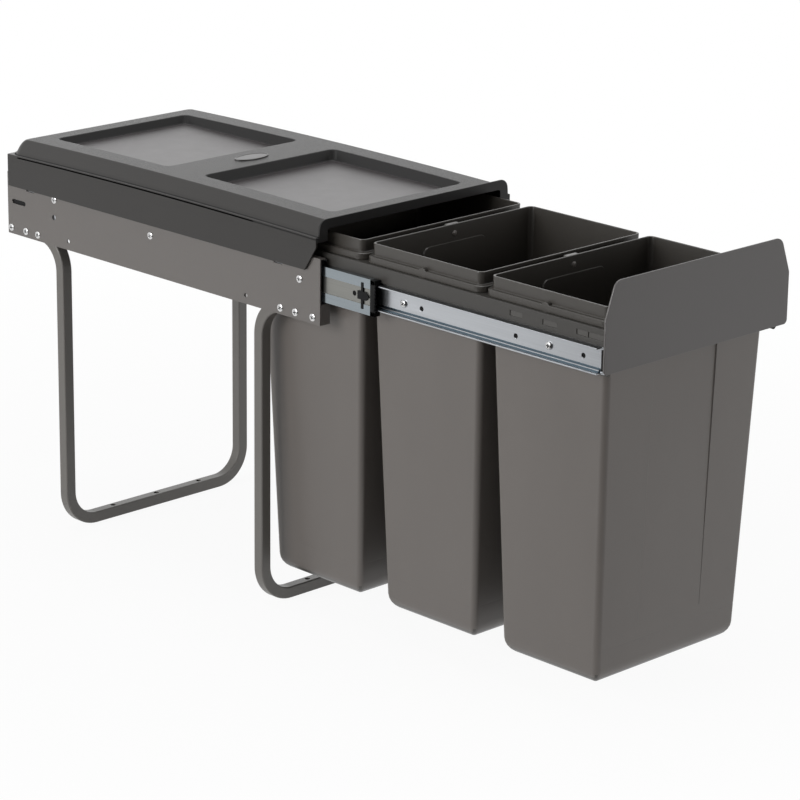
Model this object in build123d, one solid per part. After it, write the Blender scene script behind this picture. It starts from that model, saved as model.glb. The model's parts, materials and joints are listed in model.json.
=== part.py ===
from build123d import *
from math import degrees
import os

# Pull-out waste bin unit: a floor-standing frame with ball-bearing slides, a lid and three hanging bins.
# Millimetres. X to the right, Y to the rear, Z up from the cabinet floor. The drawer stands open.
# The origin is on the floor, in the middle of the four outer floor screw holes.

# Side panels
unit_width = 256.0
panel_sheet = 1.5
panel_length = 476.0
panel_height = 65.5
panel_floor_gap = 307.5
panel_rear_overhang = 81.5
panel_top_flange = 7.0
panel_return_width = 13.0
panel_return_height = 20.5

# Leg frames, bent from square tube
leg_spacing = 305.0
tube_size = 12.0
tube_wall = 1.5
tube_corner = 1.5
bend_radius = 34.0
tube_lift = 0.5
tube_end_gap = 2.0
plug_flange = 1.2
plug_depth = 8.0
floor_hole_pitch = 60.0
floor_hole_radius = 2.75

# Screws
screw_radius = 2.0
screw_head_radius = 3.8
screw_head_height = 1.1
screw_play = 0.1
leg_screw_reach = 4.0
leg_screw_height = 6.5
rear_leg_screw_places = (5.5, 29.3, 49.0)
front_leg_screw_places = (10.2, 34.5, 55.5)
slide_screw_places = (28.6, 247.0)
high_slide_screw_place = 398.8
high_slide_screw_lift = 8.3

# Ball-bearing slides
slide_axis_height = 40.5
slide_length = 450.0
slide_setback = 2.0
slide_thickness = 12.7
slide_sheet = 1.2
race_end_gap = 3.4
race_lip = 1.2
middle_length = 430.0
middle_setback = 9.5
middle_recess = 0.8
race_strip = 8.45
inner_height = 24.3
inner_lead = 1.8
ball_diameter = 4.0
ball_play = 0.05
inner_ball_gap = 0.15
cage_sheet = 0.4
cage_gap = 0.25
outer_cage_length = 170.0
outer_cage_setback = 130.0
inner_cage_length = 114.0
inner_cage_setback = 2.5
ball_pitch = 20.0
middle_travel_shown = 76.0
drawer_travel_shown = 270.0

# Catch and end cap on each middle member
catch_length = 15.5
catch_height = 8.0
catch_bar_height = 25.5
catch_bar_width = 3.0
catch_setback = 1.5
catch_gap = 0.3
end_cap_length = 11.0
end_cap_wall = 2.0
end_cap_inset = 0.5
end_cap_grooves = 4
groove_depth = 0.5

# Holes and stops of each inner member
inner_screw_places = (62.4, 246.2, 397.8)
inner_hole_places = (21.2, 103.3, 223.0)
inner_hole_radius = 2.5
inner_screw_head_height = 2.0
inner_screw_reach = 3.5
inner_tab_length = 5.0

# Bins
bin_side_gap = 3.8
bin_rim_length = 144.0
bin_rim_gap = 11.0
bin_count = 3
bin_height = 363.6
bin_wall = 2.0
bin_floor = 2.5
bin_draft = 0.035
bin_corner = 6.0
bin_foot_round = 16.0
bin_ledge_height = 6.5
bin_ledge_reach = 4.3
bin_rim_lift = 18.5
bump_radius = 5.0
bump_lift = 4.0
boss_radius = 3.0
boss_depth = 1.2
boss_drop = 9.0
tab_width = 16.0
tab_reach = 4.0
tab_height = 4.0

# Bin carrier
carrier_lift = 28.5
carrier_plate = 3.0
carrier_wall = 2.0
carrier_bottom_drop = 14.0
carrier_step_lift = 14.0
carrier_side_gap = 0.7
carrier_lead = 10.2
carrier_front_wall = 3.0
carrier_rear_margin = 6.8
carrier_bar_depth = 27.0
carrier_bar_width = 4.0
front_bin_setback = 9.2
opening_play = 1.0
window_places = ((8.0, 25.0), (25.8, 39.0), (63.0, 80.0), (105.0, 120.0))
window_height = 5.0
window_lift = 4.0

# Front plate
plate_width = 248.8
plate_height = 83.6
plate_sheet = 2.0
plate_drop = 38.2
plate_slope_height = 34.0
plate_slope_width = 12.4
plate_foot_corner = 4.5
plate_top_corner = 10.0
stud_radius = 2.0
stud_length = 7.0
stud_spacing_x = 170.0
stud_spacing_z = 20.0
stud_drop = 30.5
nut_flats = 7.0
nut_height = 3.0

# Lid
lid_wall = 1.8
lid_side_gap = 1.2
lid_length = 470.3
lid_rear_setback = 3.7
lid_crown_lift = 36.1
lid_crown_radius = 10000.0
lid_crown_place = 250.3
deck_inset = 18.7
deck_drop = 13.3
step_width = 1.8
skirt_overlap = 13.5
front_slope_foot = 16.8
front_slope_lift = 25.5
front_frame_inset = 5.0
front_frame_lift = 3.1
front_frame_band = 9.6
front_frame_splay = 1.5
front_frame_foot_lift = 28.5
front_frame_corner = 8.5
front_frame_opening_corner = 3.0
ledge_height = 2.0
ledge_width = 6.0
recess_width = 176.0
recess_floor_lift = 25.5
recess_slope = 4.5
rear_recess = (32.0, 210.0)
front_recess = (263.0, 449.5)
recess_corner = 6.0
badge_length = 42.0
badge_width = 21.0
badge_lift = 1.2
badge_depth = 1.0
badge_play = 0.1

# Clip slots in the side panels, with the lid's tongues in them
rear_slot = (31.2, 43.8)
front_slot = (411.0, 423.0)
slot_depth = 15.8
tongue_play = 0.6
tongue_reach = 1.1
pierced_slot = (7.2, 29.5)
pierced_slot_drop = 30.3
pierced_slot_height = 4.7
spare_holes = ((99.0, 56.2, 2.2), (370.7, 56.8, 2.2), (76.1, 35.4, 3.0))

# Places worked out from the sizes above
panel_x = unit_width / 2
panel_inner_x = panel_x - panel_sheet
panel_z = panel_floor_gap
panel_top_z = panel_z + panel_height
rear_leg_y = leg_spacing / 2
front_leg_y = -leg_spacing / 2
panel_rear_y = rear_leg_y + panel_rear_overhang
panel_front_y = panel_rear_y - panel_length
leg_x = panel_inner_x - tube_size / 2
leg_top_z = panel_z + tube_lift + tube_size / 2
leg_screw_z = panel_z + leg_screw_height

ball_radius = ball_diameter / 2
race_gap = ball_diameter + 2 * ball_play
slide_z = panel_z + slide_axis_height
inner_half = inner_height / 2
middle_half = inner_half + race_gap + slide_sheet
outer_half = middle_half + race_gap + slide_sheet
inner_ball_lift = inner_half + race_gap / 2
outer_ball_lift = middle_half + race_gap / 2
outer_cage_depth = slide_sheet + cage_gap
middle_depth = outer_cage_depth + cage_sheet + cage_gap
recess_depth = middle_depth + middle_recess
inner_cage_depth = recess_depth + slide_sheet + cage_gap
inner_tip_depth = inner_cage_depth + cage_sheet + cage_gap
inner_web_depth = slide_thickness - slide_sheet
race_end_depth = slide_thickness - race_end_gap
inner_ball_depth = inner_cage_depth + cage_sheet + inner_ball_gap + ball_radius
outer_ball_depth = (middle_depth + race_end_depth) / 2
outer_front_y = panel_front_y + slide_setback
middle_front_y = outer_front_y + middle_setback - middle_travel_shown
inner_front_y = outer_front_y - inner_lead - middle_travel_shown - drawer_travel_shown

carrier_depth = slide_thickness
carrier_x = panel_inner_x - carrier_depth
carrier_side_x = panel_inner_x - race_end_depth - carrier_side_gap
carrier_top_z = slide_z + carrier_lift
carrier_bottom_z = slide_z - carrier_bottom_drop
carrier_step_z = slide_z + carrier_step_lift
carrier_front_y = inner_front_y - carrier_lead
bin_rim_width = 2 * (carrier_x - carrier_wall - bin_side_gap)
bin_pitch = bin_rim_length + bin_rim_gap
bin_rim_z = carrier_top_z + bin_rim_lift
bin_foot_z = bin_rim_z - bin_height
front_bin_y = carrier_front_y + front_bin_setback + bin_rim_length / 2
bin_centres = [front_bin_y + bin_pitch * place for place in range(bin_count)]
carrier_rear_y = bin_centres[-1] + bin_rim_length / 2 + carrier_rear_margin

lid_x = panel_x + lid_side_gap + lid_wall
lid_rear_y = panel_rear_y - lid_rear_setback
lid_front_y = lid_rear_y - lid_length
lid_crown_y = lid_rear_y - lid_crown_place
lid_crown_z = panel_top_z + lid_crown_lift
skirt_z = panel_top_z - skirt_overlap
recess_floor_z = panel_top_z + recess_floor_lift


def block(x_range, y_range, z_range):
    low, high = zip(*(sorted(limits) for limits in (x_range, y_range, z_range)))
    sides = [end - start for start, end in zip(low, high)]
    middle = [(end + start) / 2 for start, end in zip(low, high)]
    return Pos(*middle) * Box(*sides)


def rod_x(x_range, y, z, radius):
    start, end = sorted(x_range)
    return Pos((start + end) / 2, y, z) * Rot(0, 90, 0) * Cylinder(radius, end - start)


def rod_y(y_range, x, z, radius):
    start, end = sorted(y_range)
    return Pos(x, (start + end) / 2, z) * Rot(90, 0, 0) * Cylinder(radius, end - start)


def rod_z(z_range, x, y, radius):
    start, end = sorted(z_range)
    return Pos(x, y, (start + end) / 2) * Cylinder(radius, end - start)


def depth_x(depth):
    # Left side: a depth inboard from the panel's inner face
    return depth - panel_inner_x


def slide_block(depths, y_range, lifts):
    return block([depth_x(depth) for depth in depths], y_range, [slide_z + lift for lift in lifts])


def both_flanges(depths, y_range, lifts):
    upper = slide_block(depths, y_range, lifts)
    lower = slide_block(depths, y_range, [-lift for lift in lifts])
    return upper + lower


def mirrored(shape):
    return mirror(shape, about=Plane.YZ)


# Fixed frame

def leg_screw_centres():
    rear = [panel_rear_y - place for place in rear_leg_screw_places]
    front = [panel_front_y + place for place in front_leg_screw_places]
    return [(y, leg_screw_z) for y in rear + front]


def slide_screw_centres():
    on_axis = [(panel_front_y + place, slide_z) for place in slide_screw_places]
    high = (panel_front_y + high_slide_screw_place, slide_z + high_slide_screw_lift)
    return on_axis + [high]


def side_panel():
    length = (panel_front_y, panel_rear_y)
    web = block((-panel_x, -panel_inner_x), length, (panel_z, panel_top_z))
    top = block((-panel_x, -panel_x + panel_top_flange), length, (panel_top_z - panel_sheet, panel_top_z))
    returned = block(
        (-panel_x, -panel_x + panel_return_width),
        (panel_front_y, panel_front_y + panel_sheet),
        (panel_z, panel_z + panel_return_height),
    )
    panel = web + top + returned
    for y, z in leg_screw_centres() + slide_screw_centres():
        panel -= rod_x((-panel_x, -panel_inner_x), y, z, screw_radius + screw_play)
    for place, drop, radius in spare_holes:
        panel -= rod_x((-panel_x, -panel_inner_x), panel_rear_y - place, panel_top_z - drop, radius)
    for start, end in (rear_slot, front_slot):
        panel -= block(
            (-panel_x, -panel_x + panel_top_flange),
            (panel_rear_y - start, panel_rear_y - end),
            (panel_top_z - slot_depth, panel_top_z),
        )
    pierced_length = pierced_slot[1] - pierced_slot[0]
    pierced_y = panel_rear_y - sum(pierced_slot) / 2
    pierced_z = panel_top_z - pierced_slot_drop
    outline = SlotOverall(pierced_length, pierced_slot_height)
    opening = Plane((-panel_inner_x, pierced_y, pierced_z), x_dir=(0, 1, 0), z_dir=(-1, 0, 0)) * outline
    return panel - extrude(opening, panel_sheet)


def leg_frame(leg_y, end_y):
    # One tube: a top run along each panel, two uprights and a floor run
    floor_z = tube_size / 2
    path = FilletPolyline(
        (-leg_x, end_y, leg_top_z),
        (-leg_x, leg_y, leg_top_z),
        (-leg_x, leg_y, floor_z),
        (leg_x, leg_y, floor_z),
        (leg_x, leg_y, leg_top_z),
        (leg_x, end_y, leg_top_z),
        radius=bend_radius,
    )
    bore = tube_size - 2 * tube_wall
    section = RectangleRounded(tube_size, tube_size, tube_corner)
    section -= Rectangle(bore, bore)
    towards = (0, 1 if leg_y > end_y else -1, 0)
    start = Plane((-leg_x, end_y, leg_top_z), x_dir=(1, 0, 0), z_dir=towards)
    tube = sweep(start * section, path=path)
    for step in (-1, 0, 1):
        tube -= rod_z((0, tube_size), step * floor_hole_pitch, leg_y, floor_hole_radius)
    for y, z in leg_screw_centres():
        if (y > 0) == (leg_y > 0):
            for side in (-1, 1):
                wall = (side * panel_inner_x, side * (panel_inner_x - tube_wall))
                tube -= rod_x(wall, y, z, screw_radius + screw_play)
    return tube


def tube_plugs():
    bore = tube_size - 2 * tube_wall
    plugs = []
    for side in (-1, 1):
        for end_y, outward in ((rear_tube_end_y, 1), (front_tube_end_y, -1)):
            flange = block(
                (side * leg_x - tube_size / 2, side * leg_x + tube_size / 2),
                (end_y, end_y + outward * plug_flange),
                (leg_top_z - tube_size / 2, leg_top_z + tube_size / 2),
            )
            stem_reach = bore / 2
            stem = block(
                (side * leg_x - stem_reach, side * leg_x + stem_reach),
                (end_y, end_y - outward * plug_depth),
                (leg_top_z - stem_reach, leg_top_z + stem_reach),
            )
            for y, z in leg_screw_centres():
                across = (side * panel_inner_x, side * (panel_inner_x - tube_size))
                stem -= rod_x(across, y, z, screw_radius + screw_play)
            plugs.append(flange + stem)
    return Compound(plugs)


def panel_screws(centres, reach):
    screws = []
    for y, z in centres:
        head = rod_x((-panel_x, -panel_x - screw_head_height), y, z, screw_head_radius)
        shank = rod_x((-panel_x, -panel_inner_x + reach), y, z, screw_radius)
        screws.append(head + shank)
    return Compound(screws)


rear_tube_end_y = panel_rear_y - tube_end_gap - plug_flange
front_tube_end_y = panel_front_y + tube_end_gap + plug_flange


# Slides, left side; the right side is their mirror image

def outer_member():
    length = (outer_front_y, outer_front_y + slide_length)
    member = slide_block((0, slide_sheet), length, (-outer_half, outer_half))
    member += both_flanges((0, race_end_depth), length, (outer_half - slide_sheet, outer_half))
    lip_depths = (race_end_depth - slide_sheet, race_end_depth)
    member += both_flanges(lip_depths, length, (outer_half - slide_sheet - race_lip, outer_half))
    for y, z in slide_screw_centres():
        member -= rod_x((depth_x(0), depth_x(slide_sheet)), y, z, screw_radius + screw_play)
    return member


def middle_member():
    length = (middle_front_y, middle_front_y + middle_length)
    strip_start = middle_half - race_strip
    strip_depths = (middle_depth, middle_depth + slide_sheet)
    member = both_flanges(strip_depths, length, (strip_start, middle_half))
    member += both_flanges(
        (middle_depth, recess_depth + slide_sheet), length, (strip_start - slide_sheet, strip_start)
    )
    member += slide_block((recess_depth, recess_depth + slide_sheet), length, (-strip_start, strip_start))
    member += both_flanges(
        (middle_depth, race_end_depth), length, (middle_half - slide_sheet, middle_half)
    )
    hole_y = middle_front_y + catch_setback + catch_length + 2 * inner_hole_radius
    hole_x = (depth_x(middle_depth), depth_x(inner_cage_depth))
    return member - rod_x(hole_x, hole_y, slide_z, inner_hole_radius)


def inner_member():
    length = (inner_front_y, inner_front_y + slide_length)
    member = slide_block((inner_web_depth, slide_thickness), length, (-inner_half, inner_half))
    lips = (inner_half - slide_sheet, inner_half)
    member += both_flanges((inner_tip_depth, slide_thickness), length, lips)
    tab = (inner_front_y - inner_tab_length, inner_front_y)
    tab_lift = inner_half - 2 * slide_sheet
    member += slide_block((inner_web_depth, slide_thickness), tab, (tab_lift, inner_half))
    member += slide_block((inner_web_depth - slide_sheet, slide_thickness), tab, (-tab_lift, -inner_half))
    web = (depth_x(inner_web_depth), depth_x(slide_thickness))
    for place in inner_hole_places:
        member -= rod_x(web, inner_front_y + place, slide_z, inner_hole_radius)
    for place in inner_screw_places:
        member -= rod_x(web, inner_front_y + place, slide_z, screw_radius + screw_play)
    return member


def ball_cage(web_depth, ball_lift, start_y, length):
    # A thin channel with a row of ball holes in each flange
    half = ball_lift + cage_sheet / 2
    y_range = (start_y, start_y + length)
    flange_end = race_end_depth - cage_gap
    if web_depth < middle_depth:
        flange_end -= slide_sheet
    cage = slide_block((web_depth, web_depth + cage_sheet), y_range, (-half, half))
    cage += both_flanges((web_depth, flange_end), y_range, (half - cage_sheet, half))
    return cage


def ball_centres(ball_depth, ball_lift, start_y, length):
    count = int((length - ball_pitch / 2) // ball_pitch) + 1
    first_y = start_y + (length - ball_pitch * (count - 1)) / 2
    rows = (-ball_lift, ball_lift)
    return [
        (depth_x(ball_depth), first_y + ball_pitch * place, slide_z + lift)
        for lift in rows
        for place in range(count)
    ]


def cage_and_balls(web_depth, ball_depth, ball_lift, start_y, length):
    centres = ball_centres(ball_depth, ball_lift, start_y, length)
    cage = ball_cage(web_depth, ball_lift, start_y, length)
    cage -= [
        rod_z((z - cage_sheet, z + cage_sheet), x, y, ball_radius + screw_play)
        for x, y, z in centres
    ]
    balls = [Pos(*centre) * Sphere(ball_radius) for centre in centres]
    return cage, Compound(balls)


def progression_catch():
    # An arrow-shaped slider in the middle member's recess, with an upright bar across it
    near = slide_sheet + catch_gap
    front = middle_front_y + catch_setback
    rear = front + catch_length
    half = catch_height / 2
    arrow = Plane.YZ * Polygon(
        (front, 0), (front + half, -half), (rear, -half), (rear, half), (front + half, half), align=None
    )
    arrow = Pos(depth_x(near), 0, slide_z) * extrude(arrow, recess_depth - near)
    bar_y = (front + catch_length / 2, front + catch_length / 2 + catch_bar_width)
    bar = slide_block((near, middle_depth), bar_y, (-catch_bar_height / 2, catch_bar_height / 2))
    strip_start = middle_half - race_strip
    reach = strip_start - slide_sheet
    foot = slide_block((near, recess_depth), bar_y, (-reach, reach))
    return arrow + bar + foot


def middle_end_cap():
    # A plastic buffer on the front end of the middle member, open for the inner member
    near = slide_sheet + catch_gap
    y_range = (middle_front_y - end_cap_length, middle_front_y)
    top = middle_half
    cap = slide_block((near, near + end_cap_wall), y_range, (-top, top))
    opening = inner_half + end_cap_inset
    cap += both_flanges((near, race_end_depth), y_range, (opening, top))
    groove_step = end_cap_length / (end_cap_grooves + 1)
    for place in range(1, end_cap_grooves + 1):
        y = y_range[0] + groove_step * place
        groove_y = (y - groove_step / 4, y + groove_step / 4)
        cap -= slide_block((near, near + groove_depth), groove_y, (-top, top))
    return cap


# Drawer

def slide_to_carrier_screws():
    screws = []
    for place in inner_screw_places:
        y = inner_front_y + place
        head_range = (depth_x(inner_web_depth - inner_screw_head_height), depth_x(inner_web_depth))
        head = rod_x(head_range, y, slide_z, screw_head_radius)
        shank_range = (depth_x(inner_web_depth), depth_x(slide_thickness + inner_screw_reach))
        screws.append(head + rod_x(shank_range, y, slide_z, screw_radius))
    left = Compound(screws)
    return Compound(screws + list(mirrored(left).solids()))


def stud_centres():
    middle_z = carrier_top_z - stud_drop + stud_spacing_z / 2
    return [
        (side * stud_spacing_x / 2, middle_z + level * stud_spacing_z / 2)
        for side in (-1, 1)
        for level in (-1, 1)
    ]


def bin_carrier():
    # A moulded tray frame: top plate with three openings, stepped side walls and cross ribs
    length = (carrier_front_y, carrier_rear_y)
    side = block((-carrier_side_x, carrier_side_x), length, (carrier_step_z, carrier_top_z))
    inside_x = carrier_side_x - carrier_wall
    side -= block(
        (-inside_x, inside_x), length, (carrier_step_z + carrier_wall, carrier_top_z - carrier_plate)
    )
    low = block((-carrier_x, carrier_x), length, (carrier_bottom_z, carrier_step_z + carrier_wall))
    low_inside_x = carrier_x - carrier_wall
    inside = block((-low_inside_x, low_inside_x), length, (carrier_bottom_z, carrier_step_z + carrier_wall))
    carrier = side + low - inside
    bottom_z = carrier_top_z - carrier_bar_depth
    rear_bar = (carrier_rear_y - carrier_bar_width, carrier_rear_y)
    carrier += block((-low_inside_x, low_inside_x), rear_bar, (bottom_z, carrier_top_z))
    for front_y in bin_centres[:-1]:
        bar_y = front_y + bin_pitch / 2
        bar = (bar_y - carrier_bar_width / 2, bar_y + carrier_bar_width / 2)
        carrier += block((-low_inside_x, low_inside_x), bar, (bottom_z, carrier_top_z))
    front_bar = (carrier_front_y, carrier_front_y + carrier_front_wall)
    carrier += block((-carrier_x, carrier_x), front_bar, (carrier_bottom_z, carrier_top_z))
    hang = bin_rim_z - carrier_top_z
    open_x = bin_rim_width / 2 - bin_draft * hang + opening_play
    open_y = bin_rim_length / 2 - bin_draft * hang + opening_play
    for centre_y in bin_centres:
        opening = RectangleRounded(2 * open_x, 2 * open_y, bin_corner + opening_play)
        opening = Pos(0, centre_y, carrier_top_z - carrier_plate) * opening
        carrier -= extrude(opening, carrier_plate)
    for start, end in window_places:
        window_z = (carrier_step_z + window_lift, carrier_step_z + window_lift + window_height)
        window_y = (carrier_front_y + start, carrier_front_y + end)
        for outer, inner in ((-carrier_side_x, -inside_x), (inside_x, carrier_side_x)):
            carrier -= block((outer, inner), window_y, window_z)
    for place in inner_screw_places:
        for outer, inner in ((-carrier_x, -low_inside_x), (low_inside_x, carrier_x)):
            carrier -= rod_x((outer, inner), inner_front_y + place, slide_z, screw_radius + screw_play)
    for x, z in stud_centres():
        carrier -= rod_y(front_bar, x, z, stud_radius + screw_play)
    return carrier


def front_plate():
    bottom_z = carrier_top_z - plate_drop
    top_z = bottom_z + plate_height
    half = plate_width / 2
    outline = Polygon(
        (-half, bottom_z),
        (half, bottom_z),
        (half, top_z - plate_slope_height),
        (half - plate_slope_width, top_z),
        (plate_slope_width - half, top_z),
        (-half, top_z - plate_slope_height),
        align=None,
    )
    corners = outline.vertices().sort_by(Axis.Y)
    outline = fillet(corners[:2], plate_foot_corner)
    outline = fillet(outline.vertices().group_by(Axis.Y)[-1], plate_top_corner)
    plate = Pos(0, carrier_front_y, 0) * extrude(Plane.XZ * outline, plate_sheet)
    for x, z in stud_centres():
        plate += rod_y((carrier_front_y, carrier_front_y + stud_length), x, z, stud_radius)
    return plate


def plate_nuts():
    seat_y = carrier_front_y + carrier_front_wall
    nuts = []
    for x, z in stud_centres():
        hexagon = RegularPolygon(nut_flats / 2, 6, major_radius=False) - Circle(stud_radius + screw_play)
        nuts.append(Pos(x, seat_y + nut_height, z) * extrude(Plane.XZ * hexagon, nut_height))
    return Compound(nuts)


# Bins

def profile_face(rim_half, inset, foot_z, head_z, rounding):
    # A drafted wall profile with rounded feet, in a plane with the height upwards
    foot_half = rim_half - inset - bin_draft * (bin_rim_z - foot_z)
    head_half = rim_half - inset - bin_draft * (bin_rim_z - head_z)
    face = Polygon(
        (-foot_half, foot_z), (foot_half, foot_z), (head_half, head_z), (-head_half, head_z), align=None
    )
    return fillet(face.vertices().group_by(Axis.Y)[0], rounding)


def bin_form(inset, foot_z, head_z, rounding):
    across = profile_face(bin_rim_width / 2, inset, foot_z, head_z, rounding)
    along = profile_face(bin_rim_length / 2, inset, foot_z, head_z, rounding)
    form = extrude(Plane.XZ * across, bin_rim_length, both=True)
    form &= extrude(Plane.YZ * along, bin_rim_width, both=True)
    sections = []
    for z in (foot_z, head_z):
        shrink = 2 * (inset + bin_draft * (bin_rim_z - z))
        corner = bin_corner - inset / 2
        outline = RectangleRounded(bin_rim_width - shrink, bin_rim_length - shrink, corner)
        sections.append(Pos(0, 0, z) * outline)
    return form & loft(sections, ruled=True)


def waste_bin(centre_y):
    body = bin_form(0, bin_foot_z, bin_rim_z, bin_foot_round)
    ledge_x = bin_rim_width + 2 * bin_ledge_reach
    ledge_y = bin_rim_length + 2 * bin_ledge_reach
    ledge = RectangleRounded(ledge_x, ledge_y, bin_corner + bin_ledge_reach)
    body += Pos(0, 0, carrier_top_z) * extrude(ledge, bin_ledge_height)
    bump_z = carrier_top_z + bump_lift
    bump = rod_x((-ledge_x / 2, ledge_x / 2), 0, bump_z, bump_radius)
    body += bump & block((-ledge_x, ledge_x), (-ledge_y, ledge_y), (carrier_top_z, bin_rim_z))
    tab_y = (bin_rim_length / 2 - bin_wall, bin_rim_length / 2 + tab_reach)
    body += block((-tab_width / 2, tab_width / 2), tab_y, (bin_rim_z - tab_height, bin_rim_z))
    body -= bin_form(bin_wall, bin_foot_z + bin_floor, bin_rim_z, bin_foot_round - bin_wall)
    wall_y = bin_rim_length / 2 - bin_wall
    body += rod_y((wall_y + bin_wall / 2, wall_y - boss_depth), 0, bin_rim_z - boss_drop, boss_radius)
    return Pos(0, centre_y, 0) * body


# Lid

def lid_section(inset):
    # Half outline of the cross-section below the crown line, both halves joined
    half = lid_x - inset
    half_outline = [
        (half + inset / 2 - deck_inset, lid_crown_z - inset),
        (half - step_width, lid_crown_z - deck_drop - inset / 2),
        (half, lid_crown_z - deck_drop - inset),
        (half, panel_floor_gap),
    ]
    other_half = [(-x, z) for x, z in reversed(half_outline)]
    return Polygon(*half_outline, *other_half, align=None)


def cambered(section):
    # The cross-section turned about a far axis across the unit, which gives the lid its camber
    sweep_angle = 2 * degrees(lid_length / lid_crown_radius)
    axis_z = lid_crown_z - lid_crown_radius
    axis = Axis((0, lid_crown_y, axis_z), (1, 0, 0))
    face = Pos(0, lid_crown_y, 0) * (Plane.XZ * section)
    turned = face.rotate(axis, -sweep_angle / 2)
    return revolve(turned, axis, sweep_angle)


def recess_form(places, grow):
    # A shallow pocket with sloped walls; grown by the wall it is the pocket's outer shape
    rear_y = panel_rear_y - places[0]
    front_y = panel_rear_y - places[1]
    top_z = lid_crown_z + lid_wall
    floor_z = recess_floor_z - grow
    slope = recess_slope * (top_z - floor_z) / (lid_crown_z - recess_floor_z)
    sections = []
    for z, shrink in ((floor_z, slope), (top_z, 0)):
        width = recess_width + 2 * (grow - shrink)
        length = rear_y - front_y + 2 * (grow - shrink)
        outline = RectangleRounded(width, length, recess_corner)
        sections.append(Pos(0, (rear_y + front_y) / 2, z) * outline)
    return loft(sections, ruled=True)


def deck_z(y):
    return lid_crown_z - (y - lid_crown_y) ** 2 / (2 * lid_crown_radius)


def badge_outline(play):
    return Ellipse(badge_length / 2 + play, badge_width / 2 + play)


def badge_place():
    middle_y = panel_rear_y - (rear_recess[1] + front_recess[0]) / 2
    return middle_y, deck_z(middle_y)


def front_frame():
    # An upright flange round the lid's front end, open below for the bins
    top_z = deck_z(lid_front_y) + front_frame_lift
    foot_z = skirt_z + front_frame_foot_lift
    half = lid_x - front_frame_inset
    edge_x = lid_x - lid_wall / 2
    shoulder_x = half + front_frame_splay
    shoulder_z = deck_z(lid_front_y) - deck_drop - lid_wall / 3
    half_outline = [(half, top_z), (shoulder_x, shoulder_z), (edge_x, shoulder_z), (edge_x, foot_z)]
    other_half = [(-x, z) for x, z in reversed(half_outline)]
    outline = Polygon(*half_outline, *other_half, align=None)
    outline = fillet(outline.vertices().group_by(Axis.Y)[-1], front_frame_corner)
    opening_half = half - front_frame_band
    opening_z = top_z - front_frame_band
    opening = Polygon(
        (-opening_half, skirt_z),
        (opening_half, skirt_z),
        (opening_half, opening_z),
        (-opening_half, opening_z),
        align=None,
    )
    opening = fillet(opening.vertices().group_by(Axis.Y)[-1], front_frame_opening_corner)
    return Pos(0, lid_front_y + lid_wall, 0) * extrude(Plane.XZ * (outline - opening), lid_wall)


def lid():
    wide = 2 * lid_x
    shell = cambered(lid_section(0))
    hollow = cambered(lid_section(lid_wall))
    rear_wall_z = panel_top_z + ledge_height
    everything = (rear_wall_z, lid_crown_z + lid_wall)
    hollow -= block((-wide, wide), (lid_rear_y - lid_wall, lid_rear_y + lid_length), everything)
    tip_y = lid_front_y + front_slope_foot
    for places in (rear_recess, front_recess):
        hollow -= recess_form(places, lid_wall)
    side_outline = Polygon(
        (tip_y, skirt_z),
        (lid_front_y, skirt_z + front_slope_lift),
        (lid_front_y, lid_crown_z + lid_wall),
        (lid_rear_y, lid_crown_z + lid_wall),
        (lid_rear_y, skirt_z),
        align=None,
    )
    shell &= extrude(Plane.YZ * side_outline, wide, both=True)
    shell -= hollow
    for places in (rear_recess, front_recess):
        shell -= recess_form(places, 0)
    shell += front_frame()
    skirt_inner_x = lid_x - lid_wall
    ledge_y = (tip_y + lid_wall, lid_rear_y)
    for side in (-1, 1):
        ledge_x = (side * skirt_inner_x, side * (skirt_inner_x - ledge_width))
        shell += block(ledge_x, ledge_y, (panel_top_z, panel_top_z + ledge_height))
        for start, end in (rear_slot, front_slot):
            tongue_y = (panel_rear_y - start - tongue_play, panel_rear_y - end + tongue_play)
            tongue_x = (side * skirt_inner_x, side * (panel_x - tongue_reach))
            shell += block(tongue_x, tongue_y, (skirt_z, panel_top_z + ledge_height))
    middle_y, middle_z = badge_place()
    pocket = Pos(0, middle_y, middle_z - badge_depth) * badge_outline(badge_play)
    return shell - extrude(pocket, 2 * badge_depth)


def lid_badge():
    middle_y, middle_z = badge_place()
    face = Pos(0, middle_y, middle_z - badge_depth) * badge_outline(0)
    return extrude(face, badge_depth + badge_lift)


def save(node, shape):
    export_step(shape, f"parts/{node}.step")


def save_pair(name, left_shape):
    save(f"{name}_left", left_shape)
    save(f"{name}_right", mirrored(left_shape))


os.makedirs("parts", exist_ok=True)

save_pair("side_panel", side_panel())
save("leg_frame_rear", leg_frame(rear_leg_y, rear_tube_end_y))
save("leg_frame_front", leg_frame(front_leg_y, front_tube_end_y))
save("leg_tube_plugs", tube_plugs())
save_pair("leg_screws", panel_screws(leg_screw_centres(), leg_screw_reach))
save_pair("slide_screws", panel_screws(slide_screw_centres(), slide_sheet))

save_pair("slide_outer", outer_member())
save_pair("slide_middle", middle_member())
save_pair("slide_inner", inner_member())
save_pair("slide_catch", progression_catch())
save_pair("slide_end_cap", middle_end_cap())
outer_cage_y = outer_front_y + outer_cage_setback
inner_cage_y = middle_front_y + inner_cage_setback
outer_cage, outer_balls = cage_and_balls(
    outer_cage_depth, outer_ball_depth, outer_ball_lift, outer_cage_y, outer_cage_length
)
inner_cage, inner_balls = cage_and_balls(
    inner_cage_depth, inner_ball_depth, inner_ball_lift, inner_cage_y, inner_cage_length
)
save_pair("outer_ball_cage", outer_cage)
save_pair("outer_balls", outer_balls)
save_pair("inner_ball_cage", inner_cage)
save_pair("inner_balls", inner_balls)

save("bin_carrier", bin_carrier())
save("carrier_screws", slide_to_carrier_screws())
save("front_plate", front_plate())
save("front_plate_nuts", plate_nuts())
for name, centre_y in zip(("bin_front", "bin_middle", "bin_rear"), bin_centres):
    save(name, waste_bin(centre_y))

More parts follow.
